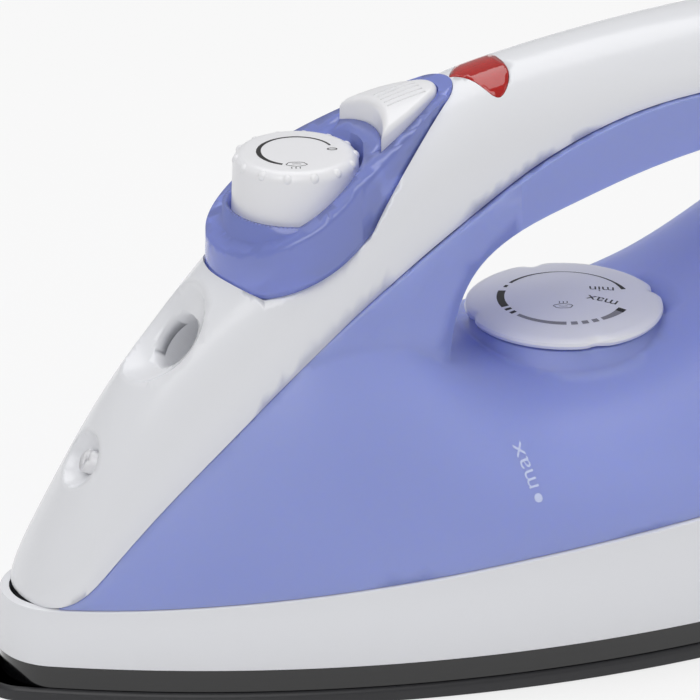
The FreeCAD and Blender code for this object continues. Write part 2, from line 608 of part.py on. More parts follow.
def spray_nozzle():
    n = normal_axis(NOZZLE_SLOPE)
    sink = NOZZLE_DISH_DEPTH
    body = nozzle_axis_cylinder(NOZZLE_R, sink - 2.4, 12)
    flange = nozzle_axis_cylinder(NOZZLE_R + 1.6, sink + WALL, sink + WALL + 1.6)
    tip = on_spine(NOZZLE_X)
    slot = Part.makeBox(2 * NOZZLE_R + 2, 0.9, 1.6, V(-NOZZLE_R - 1, -0.45, -0.8))
    slot.rotate(V(0, 0, 0), V(0, 1, 0), -NOZZLE_SLOPE)
    slot.translate(tip - n * (sink - 2.4))
    return fuse([body, flange]).cut(nozzle_axis_cylinder(0.5, 0, 9)).cut(nozzle_axis_cylinder(HOSE_R + GAP, 9, 13)).cut(slot)


def nozzle_hose():
    n = normal_axis(NOZZLE_SLOPE)
    start = on_spine(NOZZLE_X) - n * 10.9
    pts = [start, V(42, 4, 50.5), V(50, 9.5, 58.5), V(58, HOSE_Y, 68), V(67, HOSE_Y, 77), V(80, HOSE_Y, 87), V(95, HOSE_Y, 97),
           V(104, 8.5, 104), V(110, 4, 107)]
    curve = Part.BSplineCurve()
    curve.interpolate(pts)
    wire = Part.Wire(curve.toShape())
    hose = wire.makePipeShell([Part.Wire(Part.makeCircle(HOSE_R, pts[0], curve.tangent(curve.FirstParameter)[0]))],
                              True, False, 2)
    return biggest(hose.cut(pin(PUMP_X, 0, 90, 130, PUMP_R)).cut(nozzle_axis_cylinder(NOZZLE_R, -1, 12)))


# ---- controls ------------------------------------------------------------------------------------------------------------------------
def control_collar():
    body = leaf(0, 85, 150, COLLAR_R, COLLAR_TOP_R).common(half_space(COLLAR_FOOT_LINE, GAP, True))
    body = body.common(half_space(COLLAR_TOP_LINE, 0, False))
    cup = pin(KNOB_X, 0, WELL_FLOOR - CUP_T, 112, WELL_R + CUP_T)
    cup2 = button_prism(1.5, BUTTON_WELL - 2.0, 130).common(half_space(COLLAR_TOP_LINE, -2, False))
    body = fuse([body, cup, cup2])
    cuts = [pin(KNOB_X, 0, WELL_FLOOR, 150, WELL_R), button_prism(0.35, BUTTON_WELL, 160),
            pin(KNOB_X, 0, 90, 110, KNOB_SHAFT_R + RUN), pin(PUMP_X, 0, 100, 130, PLUNGER_R + RUN)]
    for c in cuts:
        body = body.cut(c)
    return biggest(body)


def steam_knob():
    profile = [(0, KNOB_FOOT), (KNOB_FOOT_R, KNOB_FOOT), (KNOB_R, KNOB_TOP - 2.6)]
    edge = arc((KNOB_R, 0, KNOB_TOP - 2.6), (KNOB_R - 0.75, 0, KNOB_TOP - 0.75), (KNOB_R - 2.6, 0, KNOB_TOP))
    pts = [(x, 0, z) for x, z in profile]
    wire = Part.Wire([line(pts[0], pts[1]), line(pts[1], pts[2]), edge,
                      line((KNOB_R - 2.6, 0, KNOB_TOP), (0, 0, KNOB_TOP)), line((0, 0, KNOB_TOP), pts[0])])
    knob = Part.Face(wire).revolve(V(0, 0, 0), V(0, 0, 1), 360)
    knob.translate(V(KNOB_X, 0, 0))
    shaft = pin(KNOB_X, 0, 97.0, KNOB_FOOT + 1, KNOB_SHAFT_R)
    studs = []
    for i in range(KNOB_STUDS):
        a = 2 * math.pi * (i + 0.5) / KNOB_STUDS
        r = KNOB_R - 0.9
        studs.append(Part.makeSphere(KNOB_STUD_R, V(KNOB_X + r * math.cos(a), r * math.sin(a), KNOB_TOP - 1.9)))
    body = fuse([knob, shaft] + studs)
    return biggest(body.cut(pin(KNOB_X, 0, 90, KNOB_FOOT + 9, STEM_R + RUN)))


def valve_stem():
    stem = pin(KNOB_X, 0, 20.5, KNOB_FOOT + 3, STEM_R)
    plug = Part.makeCone(0.6, 2.4, 3, V(KNOB_X, 0, 19.5), V(0, 0, 1))
    return fuse([stem, plug])


def valve_seat():
    body = pin(KNOB_X, 0, CASTING_TOP - 2, FLOOR_Z + FLOOR_T + 2, 4.0)
    flange = pin(KNOB_X, 0, FLOOR_Z + FLOOR_T, FLOOR_Z + FLOOR_T + 2, 6.5)
    bore = pin(KNOB_X, 0, 0, 40, 1.2)
    pocket = pin(KNOB_X, 0, 19.2, 40, 3.0)
    return fuse([body, flange]).cut(fuse([bore, pocket]))


def spray_button():
    body = button_prism(0, BUTTON_FOOT, 150).common(half_space(BUTTON_TOP_LINE, 0, False))
    plunger = pin(PUMP_X, 0, PISTON_Z + 2, BUTTON_FOOT + 1, PLUNGER_R)
    return fuse([body, plunger])


def pump_piston():
    return pin(PUMP_X, 0, PISTON_Z, PISTON_Z + 5, PUMP_BORE_R - RUN).cut(pin(PUMP_X, 0, PISTON_Z + 2, 130, PLUNGER_R))


def pump_body():
    body = pin(PUMP_X, 0, PUMP_FOOT, BUTTON_WELL - 2.0, PUMP_R)
    return body.cut(pin(PUMP_X, 0, PUMP_FOOT + 1.6, 130, PUMP_BORE_R))


def button_spring():
    coil_r, wire_r = 3.4, 0.35
    z0, z1 = PUMP_FOOT + 1.6 + wire_r, PISTON_Z - wire_r
    helix = Part.makeHelix((z1 - z0) / 4, z1 - z0, coil_r)
    helix.translate(V(0, 0, z0))
    ring = Part.Wire(Part.makeCircle(wire_r, V(coil_r, 0, z0), V(0, 1, 0.1)))
    coil = Part.Wire(helix.Edges).makePipeShell([ring], True, True, 2)
    coil.translate(V(PUMP_X, 0, 0))
    return coil


def pump_inlet():
    return pin(PUMP_X - 2.6, 0, 27, PUMP_FOOT, HOSE_R)


def temperature_dial():
    r, top, foot = DIAL_R, DIAL_TOP, DIAL_FOOT
    dome = arc((0, 0, top), (r * 0.55, 0, top - 0.55), (r - 1.6, 0, top - 2.2))
    edge = arc((r - 1.6, 0, top - 2.2), (r - 0.35, 0, top - 2.85), (r, 0, foot + 0.9))
    wire = Part.Wire([dome, edge, line((r, 0, foot + 0.9), (r - 0.5, 0, foot)), line((r - 0.5, 0, foot), (0, 0, foot)),
                      line((0, 0, foot), (0, 0, top))])
    dial = Part.Face(wire).revolve(V(0, 0, 0), V(0, 0, 1), 360)
    for i in range(DIAL_SCALLOPS):
        a = math.radians(-72 + 360 * i / DIAL_SCALLOPS)
        c = V(math.cos(a), math.sin(a), 0)
        scoop = Part.makeSphere(15, c * (r + 2.4) + V(0, 0, foot + 16.6))
        dial = dial.cut(scoop)
    dial.translate(V(DIAL_X, 0, 0))
    return biggest(dial.cut(pin(DIAL_X, 0, 60, foot + 2.2, SPINDLE_R)))


def thermostat_spindle():
    body = pin(DIAL_X, 0, 15.5, DIAL_FOOT + 2.2, SPINDLE_R)
    flat = box(DIAL_X + SPINDLE_R - 0.8, DIAL_X + 9, -9, 9, 0, 20)
    return body.cut(flat)


def thermostat_body():
    z = CASTING_TOP_IN
    body = fuse([pin(DIAL_X, 0, z, z + 6.5, THERMOSTAT_R), pin(DIAL_X, 0, z, FLOOR_Z, 5.2)])
    tabs = [box(DIAL_X - 3, DIAL_X + 3, s * 10 - 8, s * 10 + 8, z + 3, z + 4) for s in (-1, 1)]
    return fuse([body] + tabs).cut(pin(DIAL_X, 0, z + 2, 40, SPINDLE_R + RUN))


def thermal_fuse():
    z = CASTING_TOP_IN
    fuse_tube = cyl(1.9, 22, (184, -11, z + 1.9), (0, 1, 0))
    strap = box(182, 186, -3, 3, z, z + 4.2).cut(cyl(1.9, 30, (184, -15, z + 1.9), (0, 1, 0)))
    foot = box(186, 192, -3, 3, z, z + 0.8)
    return fuse([fuse_tube, strap, foot])


def lamp_lens():
    return biggest(blade(0, True).cut(blade(WALL, True)).common(lens_prism(0)))


def lamp_holder():
    block = blade(WALL + GAP, True).common(box(126.5, 134, -7, 7, 129.5, 150)).common(lens_prism(-0.6))
    return biggest(block.cut(cyl(2.3, 30, (130.5, -15, 132.4), (0, 1, 0))))


def neon_lamp():
    return cyl(2.2, 12, (130.5, -6, 132.4), (0, 1, 0))


# ---- rear ---------------------------------------------------------------------------------------------------------------------------------
def heel_volume(inset, x_end=REAR_X):
    """Rounded rear end of tank and handle together."""
    tank, grip = [], []
    x0, ys, zs, crown, power = TANK_STATIONS[-1]
    base = along(SKIRT_LINE, JOIN_X)
    widest = skirt_half(JOIN_X, base) - TANK_BASE_INSET
    power_z = math.log(1 - (ys / widest) ** power) / math.log((zs - base) / (crown - base))
    for x, round_off in HEEL_ROUNDING:
        half = skirt_half(x, base) - TANK_BASE_INSET - inset - 0.25 * round_off
        tank.append(arch(x, half, base, crown - round_off - inset, power, power_z, TANK_FOOT))
        width = along(BLADE_HALF, x) - inset - 0.7 * round_off
        crest = along(SPINE_LINE, x) - inset - round_off
        grip.append(arch(x, width, along(SEAM_LINE, JOIN_X), crest, 2.35, 2.1, 40))
    return Part.makeLoft(tank, True, False).fuse(Part.makeLoft(grip, True, False))


def swing_slot():
    c, w, reach = V(GLAND_X, 0, GLAND_Z), GLAND_TUBE_R + 0.6, 60.0
    low, high = math.radians(GLAND_TILT - SWING_DOWN), math.radians(GLAND_TILT + SWING_UP)
    pts = [c + V(w * math.sin(low), 0, -w * math.cos(low)),
           c + V(w * math.sin(low) + reach * math.cos(low), 0, -w * math.cos(low) + reach * math.sin(low)),
           c + V(reach, 0, reach),
           c + V(-w * math.sin(high) + reach * math.cos(high), 0, w * math.cos(high) + reach * math.sin(high)),
           c + V(-w * math.sin(high), 0, w * math.cos(high))]
    pts = [(p.x, -w, p.z) for p in pts]
    edges = [line(pts[i], pts[(i + 1) % len(pts)]) for i in range(len(pts))]
    return Part.Face(Part.Wire(edges)).extrude(V(0, 2 * w, 0))


def rear_cover():
    clip = box(JOIN_X + GAP, REAR_X + 5, -90, 90, 0, 200)
    body = heel_volume(0).common(clip).common(half_space(SKIRT_LINE, GAP, True))
    body = body.cut(heel_volume(WALL).common(box(0, REAR_X - 3, -90, 90, 0, 200)))
    lugs = [box(235, REAR_X - 2, s * 12.2 - 2.6, s * 12.2 + 2.6, GLAND_Z - 6, GLAND_Z + 6) for s in (-1, 1)]
    bosses = [cyl(4.5, REAR_X - 1.5 - JOIN_X - GAP, (JOIN_X + GAP, y, HEEL_SCREW_Z), (1, 0, 0)) for y in (-HEEL_SCREW_Y, HEEL_SCREW_Y)]
    shelf = [box(TRAY_END_X + 2, REAR_X - 2, -6, 6, 95, 98)]
    body = fuse([body] + lugs + bosses + shelf)
    cuts = [swing_slot(), Part.makeSphere(BALL_R + FIT, V(GLAND_X, 0, GLAND_Z)),
            cyl(TRUNNION_R + RUN, 40, (GLAND_X, -20 + 6.2, GLAND_Z), (0, 1, 0)).common(box(0, 300, -13.8, 13.8, 0, 200))]
    for y in (-HEEL_SCREW_Y, HEEL_SCREW_Y):
        cuts.append(cyl(SCREW_R + FIT, 40, (JOIN_X - 20, y, HEEL_SCREW_Z), (1, 0, 0)))
        cuts.append(cyl(SCREW_HEAD_R + FIT, 20, (REAR_X - 5, y, HEEL_SCREW_Z), (1, 0, 0)))
    for c in cuts:
        body = body.cut(c)
    return biggest(body)


def heel_screws():
    out = []
    for y in (-HEEL_SCREW_Y, HEEL_SCREW_Y):
        s = screw(0, 0, 0, REAR_X - 5 - JOIN_X + 10)
        s.rotate(V(0, 0, 0), V(0, 1, 0), 90)
        s.translate(V(REAR_X - 5, y, HEEL_SCREW_Z))
        out.append(s)
    return Part.makeCompound(out)


def cord_swivel():
    c = V(GLAND_X, 0, GLAND_Z)
    a = math.radians(GLAND_TILT)
    d = V(math.cos(a), 0, math.sin(a))
    ball = Part.makeSphere(BALL_R, c)
    neck = Part.makeCylinder(GLAND_TUBE_R, GLAND_REACH, c, d)
    ribs = [Part.makeCylinder(GLAND_TUBE_R, 1.6, c + d * (14 + 4 * i), d) for i in range(3)]
    pins = cyl(TRUNNION_R, 27, (GLAND_X, -13.5, GLAND_Z), (0, 1, 0))
    bore = Part.makeCylinder(GLAND_BORE_R, GLAND_REACH + 22, c - d * 11, d)
    flare = Part.makeCone(GLAND_BORE_R + 2, GLAND_BORE_R, 3, c - d * BALL_R, d)
    return biggest(fuse([ball, neck, pins] + ribs).cut(bore).cut(flare))


def terminal_block():
    body = box(TRAY_END_X + 2.5, 236.5, -11, 11, 98, 106.5)
    return body.cut(fuse([cyl(1.6, 20, (232, y, 100), (0, 0, 1)) for y in (-7, 0, 7)]))


def cord_clamp():
    strap = box(238.5, 246, -5.6, 5.6, 98, 101)
    return strap.cut(fuse([pin(242, y, 90, 110, 1.2) for y in (-3.6, 3.6)]))


def lead_wires():
    end = heater_path()[1]
    out = []
    for s in (-1, 1):
        pts = [V(end[0], s * end[1], end[2]), V(end[0] + 0.5, s * (end[1] - 0.5), end[2] + 20), V(231, s * 24, 70),
               V(231.5, s * 10, 90), V(231.5, s * 8.4, 98)]
        curve = Part.BSplineCurve()
        curve.interpolate(pts)
        ring = Part.Wire(Part.makeCircle(1.1, pts[0], curve.tangent(curve.FirstParameter)[0]))
        tube = Part.Wire(curve.toShape()).makePipeShell([ring], True, False, 2)
        out.append(tube.common(box(200, 260, -60, 60, end[2], 98)))
    return Part.makeCompound([s for t in out for s in t.Solids])


PIECES = {
    "soleplate": soleplate, "heating_element": lambda: tube_along(heater_path()[0], HEATER_R),
    "steam_chamber_cover": steam_chamber_cover, "heat_shield": heat_shield, "base_skirt": base_skirt,
    "chamber_screws": lambda: Part.makeCompound([screw(x, y, CASTING_TOP_IN, 6) for x, y in CHAMBER_POSTS]),
    "base_screws": lambda: Part.makeCompound([screw(x, y, CASTING_TOP + FLANGE_T, 7) for x, y in BASE_SCREWS]),
    "tank_shell": tank_shell, "tank_lid": tank_lid, "tank_floor": tank_floor, "upper_cover": upper_cover,
    "filler_throat": filler_throat, "spray_nozzle": spray_nozzle, "nozzle_hose": nozzle_hose,
    "control_collar": control_collar, "steam_knob": steam_knob, "valve_stem": valve_stem, "valve_seat": valve_seat,
    "spray_button": spray_button, "pump_piston": pump_piston, "pump_body": pump_body, "button_spring": button_spring,
    "pump_inlet": pump_inlet, "temperature_dial": temperature_dial, "thermostat_spindle": thermostat_spindle,
    "thermostat_body": thermostat_body, "thermal_fuse": thermal_fuse, "lamp_lens": lamp_lens,
    "lamp_holder": lamp_holder, "neon_lamp": neon_lamp, "rear_cover": rear_cover, "heel_screws": heel_screws,
    "cord_swivel": cord_swivel, "terminal_block": terminal_block, "cord_clamp": cord_clamp,
    "lead_wires": lead_wires,
}


for name, make in PIECES.items():
    save(name, make())
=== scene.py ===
# Steam iron: studio scene and finishes, in metres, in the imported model's own frame
import bpy
import bmesh
import json
import math
from mathutils import Matrix, Vector
from mathutils.bvhtree import BVHTree

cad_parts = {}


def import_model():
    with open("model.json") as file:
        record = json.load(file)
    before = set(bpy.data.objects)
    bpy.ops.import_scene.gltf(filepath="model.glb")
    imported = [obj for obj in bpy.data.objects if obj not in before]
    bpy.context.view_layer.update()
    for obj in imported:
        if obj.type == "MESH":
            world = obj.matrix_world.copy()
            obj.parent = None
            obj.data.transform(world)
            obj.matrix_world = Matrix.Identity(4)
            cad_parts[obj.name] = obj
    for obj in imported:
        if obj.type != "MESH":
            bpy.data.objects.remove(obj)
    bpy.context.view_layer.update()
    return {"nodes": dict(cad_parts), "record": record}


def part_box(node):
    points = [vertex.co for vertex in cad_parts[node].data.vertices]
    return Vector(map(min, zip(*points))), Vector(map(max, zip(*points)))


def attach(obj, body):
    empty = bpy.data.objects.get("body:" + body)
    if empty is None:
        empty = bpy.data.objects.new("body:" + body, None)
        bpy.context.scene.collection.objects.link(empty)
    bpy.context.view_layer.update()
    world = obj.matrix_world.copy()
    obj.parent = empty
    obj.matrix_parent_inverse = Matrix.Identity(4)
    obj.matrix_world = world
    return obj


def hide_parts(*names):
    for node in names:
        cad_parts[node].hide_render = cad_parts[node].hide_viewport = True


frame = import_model()
joints = {joint["name"]: joint for joint in frame["record"]["behaviour"]["joints"]}
slotOf = {entry["node"]: entry["material_slot"] for entry in frame["record"]["subparts"]}
mm = 0.001
print("frame loaded")


# camera and light
view = {"azimuth": 25.0, "elevation": 24.5, "distance": 1.2, "lens": 256.1, "target": (-0.0355, 0.0, 0.0704)}


def addCamera():
    yaw, tilt = math.radians(view["azimuth"]), math.radians(view["elevation"])
    back = Vector((-math.sin(yaw) * math.cos(tilt), -math.cos(yaw) * math.cos(tilt), math.sin(tilt)))
    camera = bpy.data.objects.new("camera", bpy.data.cameras.new("camera"))
    camera.data.lens = view["lens"]
    camera.data.sensor_width = 36.0
    camera.data.clip_end = 50.0
    camera.location = Vector(view["target"]) + back * view["distance"]
    camera.rotation_euler = back.to_track_quat("Z", "Y").to_euler()
    bpy.context.collection.objects.link(camera)
    bpy.context.scene.camera = camera


def addLamp(name, place, size, power, aim=(0.0, 0.0, 0.06)):
    lamp = bpy.data.objects.new(name, bpy.data.lights.new(name, "AREA"))
    lamp.data.size = size
    lamp.data.energy = power
    lamp.location = place
    lamp.rotation_euler = (Vector(place) - Vector(aim)).to_track_quat("Z", "Y").to_euler()
    bpy.context.collection.objects.link(lamp)


# small tools
# sRGB hex to the linear colour that the shader wants
def linear(code, alpha=1.0):
    parts = [int(code[i:i + 2], 16) / 255 for i in (0, 2, 4)]
    return tuple(c / 12.92 if c <= 0.04045 else ((c + 0.055) / 1.055) ** 2.4 for c in parts) + (alpha,)


def addNode(tree, kind, inputs=None, **settings):
    node = tree.nodes.new(kind)
    for key, value in settings.items():
        setattr(node, key, value)
    for key, value in (inputs or {}).items():
        if isinstance(value, bpy.types.NodeSocket):
            tree.links.new(value, node.inputs[key])
        else:
            node.inputs[key].default_value = value
    return node


def startMaterial(name):
    material = bpy.data.materials.new(name)
    material.use_nodes = True
    tree = material.node_tree
    shader = tree.nodes["Principled BSDF"]
    place = addNode(tree, "ShaderNodeTexCoord").outputs["Object"]
    return material, tree, shader, place


def setShader(shader, **values):
    names = {"metallic": "Metallic", "roughness": "Roughness", "ior": "IOR",
             "transmission": "Transmission Weight", "subsurface": "Subsurface Weight",
             "coat": "Coat Weight", "coatRoughness": "Coat Roughness", "radius": "Subsurface Radius", "depth": "Subsurface Scale", "alpha": "Alpha"}
    for key, value in values.items():
        shader.inputs[names[key]].default_value = value


# Noise whose blotches are about that many millimetres across
def grain(tree, place, size, detail=3.0):
    noise = addNode(tree, "ShaderNodeTexNoise", {"Vector": place, "Scale": 1 / (size * mm), "Detail": detail})
    return noise.outputs["Fac"]


# Injection-moulded plastic: fine tool grain, slightly uneven gloss from handling, a faint flow tint
def moulded(name, colour, roughness=0.35, grainSize=1.1, grainHeight=0.004, tint=0.0005, **shine):
    material, tree, shader, place = startMaterial(name)
    base = linear(colour)
    dark = tuple(c * (1 - tint) for c in base[:3]) + (1.0,)
    flow = addNode(tree, "ShaderNodeValToRGB", {"Fac": grain(tree, place, 38, 0.0)})
    flow.color_ramp.elements[0].color, flow.color_ramp.elements[1].color = dark, base
    flow.color_ramp.elements[0].position, flow.color_ramp.elements[1].position = 0.2, 0.8
    tree.links.new(flow.outputs["Color"], shader.inputs["Base Color"])
    smudge = addNode(tree, "ShaderNodeMapRange", {
        "Value": grain(tree, place, 24, 0.0), "From Min": 0.1, "From Max": 0.9,
        "To Min": roughness * 0.98, "To Max": roughness * 1.02})
    tree.links.new(smudge.outputs["Result"], shader.inputs["Roughness"])
    bump = addNode(tree, "ShaderNodeBump", {"Height": grain(tree, place, grainSize), "Strength": 0.08,
                                            "Distance": grainHeight * mm})
    tree.links.new(bump.outputs["Normal"], shader.inputs["Normal"])
    setShader(shader, **shine)
    return material


# Bare metal: rolled or cast surface, its roughness breaking up the highlights
def metal(name, colour, roughness, grainSize=0.6, streak=(1, 1, 1)):
    material, tree, shader, place = startMaterial(name)
    stretched = addNode(tree, "ShaderNodeMapping", {"Vector": place, "Scale": streak}).outputs["Vector"]
    value = grain(tree, stretched, grainSize)
    rough = addNode(tree, "ShaderNodeMapRange",
                    {"Value": value, "To Min": roughness * 0.8, "To Max": roughness * 1.25})
    tree.links.new(rough.outputs["Result"], shader.inputs["Roughness"])
    bump = addNode(tree, "ShaderNodeBump", {"Height": value, "Strength": 0.2, "Distance": 0.01 * mm})
    tree.links.new(bump.outputs["Normal"], shader.inputs["Normal"])
    setShader(shader, metallic=1.0)
    shader.inputs["Base Color"].default_value = linear(colour)
    return material


finishes = {
    # glossy ABS of the cover and skirt: bright, soft reflections
    "white_shell": moulded("glossMouldedAbs", "E9EAEE", roughness=0.26, coat=0.25, coatRoughness=0.12),
    # knob, button and dial: the same resin with a finer polish
    "white_controls": moulded("satinMouldedAbs", "EEEEF1", roughness=0.30, coat=0.2, coatRoughness=0.15),
    # frosted polypropylene of the tank: light goes in and spreads, so the tray inside is only a blur
    "blue_tank": moulded("frostedPolypropylene", "A6B3FF", roughness=0.40, tint=0.05, transmission=0.22,
                         ior=1.49, subsurface=0.35, radius=(0.3, 0.4, 1.0), depth=0.008),
    # clear tinted polycarbonate of the collar: polished, with dark and bright bands
    "blue_clear": moulded("tintedPolycarbonate", "A3B2FF", roughness=0.14, grainHeight=0.001,
                          transmission=0.5, ior=1.585),
    "blue_solid": moulded("blueMouldedPolypropylene", "5F70CC", roughness=0.45),
    "grey_plastic": moulded("greyMouldedNylon", "9A9CA2", roughness=0.5),
    "black_resin": moulded("blackPhenolic", "0B0B0D", roughness=0.14, coat=0.5, coatRoughness=0.05),
    "ceramic": moulded("glazedSteatite", "DAD4C6", roughness=0.25),
    "soft_hose": moulded("siliconeHose", "C9CBD0", roughness=0.4, subsurface=0.2, depth=0.002),
    "wire_cover": moulded("siliconeWireSleeve", "2A2A2D", roughness=0.55),
    "lamp_red": moulded("tintedAcrylicRed", "D4160C", roughness=0.08, grainHeight=0.0005,
                        transmission=0.45, ior=1.49, coat=0.6),
    "lamp_glass": moulded("clearGlass", "FFE3CF", roughness=0.05, grainHeight=0.0002,
                          transmission=0.9, ior=1.5),
    "sole_metal": moulded("nonStickCoatedCasting", "2A2A2D", roughness=0.42, grainSize=0.5, grainHeight=0.02),
    "heater_steel": metal("sheathSteel", "8C8880", 0.4),
    "sheet_steel": metal("galvanisedSheet", "B9BABC", 0.35, 1.5),
    "screw_steel": metal("zincPlatedSteel", "C4C5C8", 0.25),
    "spring_steel": metal("springWire", "AEB0B4", 0.22, 0.3, (1, 1, 4)),
    "brass_valve": metal("turnedBrass", "C79A54", 0.22, 0.3, (1, 1, 12)),
}
inkBlack = moulded("padPrintBlack", "1C1B1D", roughness=0.5)
inkGrey = moulded("padPrintGrey", "8A898D", roughness=0.5)
inkPale = moulded("padPrintPale", "C9D2F4", roughness=0.5)
print("materials made")


# Links a finished mesh, gives it its finish and lets it ride on its body
def addPiece(name, mesh, material, body, slot, *nodes):
    piece = bpy.data.objects.new(name, mesh)
    bpy.context.collection.objects.link(piece)
    piece.data.materials.clear()
    piece.data.materials.append(material)
    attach(piece, body)
    if nodes:
        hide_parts(*nodes)
    return piece


def bodyFor(node):
    return next(body for body, nodes in frame["record"]["behaviour"]["bodies"].items() if node in nodes)


def shadeSmooth(mesh, angle=35):
    mesh.polygons.foreach_set("use_smooth", [True] * len(mesh.polygons))
    mesh.set_sharp_from_angle(angle=math.radians(angle))
    mesh.update()


# The node's own shape with its triangles joined, so that its curved faces shade smoothly
def smoothCopy(node, angle=35):
    mesh = frame["nodes"][node].data.copy()
    work = bmesh.new()
    work.from_mesh(mesh)
    bmesh.ops.remove_doubles(work, verts=work.verts, dist=0.002 * mm)
    bmesh.ops.dissolve_degenerate(work, edges=work.edges, dist=0.001 * mm)
    work.to_mesh(mesh)
    work.free()
    shadeSmooth(mesh, angle)
    return addPiece(node + "Shell", mesh, finishes[slotOf[node]], bodyFor(node), slotOf[node], node)


def meshFrom(name, points, faces, angle=35):
    mesh = bpy.data.meshes.new(name)
    mesh.from_pydata([tuple(p) for p in points], [], faces)
    work = bmesh.new()
    work.from_mesh(mesh)
    bmesh.ops.remove_doubles(work, verts=work.verts, dist=0.0005 * mm)
    bmesh.ops.recalc_face_normals(work, faces=work.faces)
    work.to_mesh(mesh)
    work.free()
    shadeSmooth(mesh, angle)
    return mesh


# base: sole, heat shield and skirt follow one plan outline
plan = {"halfWidth": 58.6, "sideRadius": 295.0, "sideCentre": 169.0, "rear": 250.0,
        "corner": 28.0, "nose": 16.0, "soleNose": 11.3}
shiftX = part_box("base_skirt")[1][0] / mm - plan["rear"]      # from the sole's tip to the frame's origin


# A place given in millimetres behind the sole's tip
def world(x, y, z):
    return Vector(((x + shiftX) * mm, y * mm, z * mm))


# Half of the plan from tip to rear, as (x, y) pairs, the same number of points at every inset
def outline(inset, nose):
    big, tip, corner = plan["sideRadius"] - inset, nose - inset, plan["corner"] - inset
    centreY = plan["sideRadius"] - plan["halfWidth"]
    noseX = plan["sideCentre"] - math.sqrt((plan["sideRadius"] - nose) ** 2 - centreY ** 2)
    meet = math.atan2(centreY, plan["sideCentre"] - noseX)
    cornerX = plan["rear"] - plan["corner"]
    cornerY = plan["halfWidth"] - plan["corner"]
    straight = cornerX - plan["sideCentre"]
    points = []
    for i in range(20):
        a = meet * i / 20
        points.append((noseX - tip * math.cos(a), tip * math.sin(a)))
    for i in range(72):
        a = meet + (math.pi / 2 - meet) * i / 72
        points.append((plan["sideCentre"] - big * math.cos(a), big * math.sin(a) - centreY))
    for i in range(12):
        points.append((plan["sideCentre"] + straight * i / 12, plan["halfWidth"] - inset))
    for i in range(17):
        a = math.pi / 2 * i / 16
        points.append((cornerX + corner * math.sin(a), cornerY + corner * math.cos(a)))
    for i in range(1, 7):
        points.append((plan["rear"] - inset, cornerY * (1 - i / 6)))
    return points


# Carries a profile of (inset, height) pairs round the plan; a height may be a function of x
def ringPiece(name, profile, nose, closed=True):
    points, faces = [], []
    for inset, height in profile:
        half = outline(inset, nose)
        loop = half + [(x, -y) for x, y in reversed(half[1:-1])]
        points += [world(x, y, height(x) if callable(height) else height) for x, y in loop]
    count, rows = len(loop), len(profile)
    for row in range(rows if closed else rows - 1):
        for i in range(count):
            j, below, above = (i + 1) % count, row * count, (row + 1) % rows * count
            faces.append((below + i, below + j, above + j, above + i))
    if not closed:
        faces += [tuple(range(count)), tuple(range((rows - 1) * count, rows * count))]
    return meshFrom(name, points, faces)


# Height at x of a smooth curve through (x, z) stations
def smoothLine(stations, x):
    if x <= stations[0][0]:
        return stations[0][1]
    if x >= stations[-1][0]:
        return stations[-1][1]
    i = max(k for k in range(len(stations) - 1) if stations[k][0] <= x)
    lean = []
    for k in (i, i + 1):
        low, high = stations[max(k - 1, 0)], stations[min(k + 1, len(stations) - 1)]
        lean.append((high[1] - low[1]) / (high[0] - low[0]))
    (x0, z0), (x1, z1) = stations[i], stations[i + 1]
    h, t = x1 - x0, (x - x0) / (x1 - x0)
    return (z0 * (1 + 2 * t) * (1 - t) ** 2 + lean[0] * h * t * (1 - t) ** 2 + z1 * t * t * (3 - 2 * t)
            + lean[1] * h * t * t * (t - 1))


skirt = {"bottom": 9.6, "leanIn": 2.5, "leanAt": 45.0, "wall": 2.2, "seam": 0.15, "edge": 0.5,
         "topLine": [(0, 24), (25, 24.4), (55, 26.5), (90, 29.8), (125, 33.5), (165, 36.8), (210, 39.5),
                     (260, 42)]}


# One ring of the skirt near its sloping top edge
def skirtRow(inset, drop):
    return inset, lambda x: smoothLine(skirt["topLine"], x) - skirt["seam"] - drop


shield = {"bottom": 3.4, "top": 9.6, "inset": 0.95, "footInset": 1.0, "sideInset": 0.75, "round": 0.3,
          "inner": 13.5}
sole = {"outset": 0.2, "top": 3.4, "inner": 13.0}


def buildBase():
    lean = lambda z: skirt["leanIn"] * (z - skirt["bottom"]) / (skirt["leanAt"] - skirt["bottom"])
    low, e, wall = skirt["bottom"], skirt["edge"], skirt["wall"]
    top = lean(30.0)
    rows = [(e * 0.9, low), (e * 0.3, low + e * 0.25), (0.02, low + e), (lean(18), 18)]
    rows += [skirtRow(top * 0.95, e), skirtRow(top + e * 0.3, e * 0.25), skirtRow(top + e, 0)]
    rows += [skirtRow(top + wall, 0), skirtRow(top + wall, 6), (wall + 0.3, low)]
    skin = ringPiece("skirtShell", rows, plan["nose"])
    addPiece("skirtShell", skin, finishes["white_shell"], "iron_body", "white_shell", "base_skirt")

    low, high, inner = shield["bottom"], shield["top"], shield["inner"]
    band = [(shield["footInset"], low), (shield["sideInset"], high - shield["round"]), (shield["inset"], high),
            (inner, high), (inner, low)]
    skin = ringPiece("shieldBand", band, plan["nose"])
    addPiece("shieldBand", skin, finishes["black_resin"], "iron_body", "black_resin", "heat_shield")

    out, high = sole["outset"], sole["top"]
    edge = [(1.0 - out, 0.0), (0.3 - out, 0.12), (-out, 0.5), (-out, 2.3), (0.15 - out, 2.75), (0.45, 3.28),
            (0.9, high), (sole["inner"], high)]
    skin = ringPiece("soleEdge", edge, plan["soleNose"])
    addPiece("soleEdge", skin, finishes["sole_metal"], "iron_body", "sole_metal")


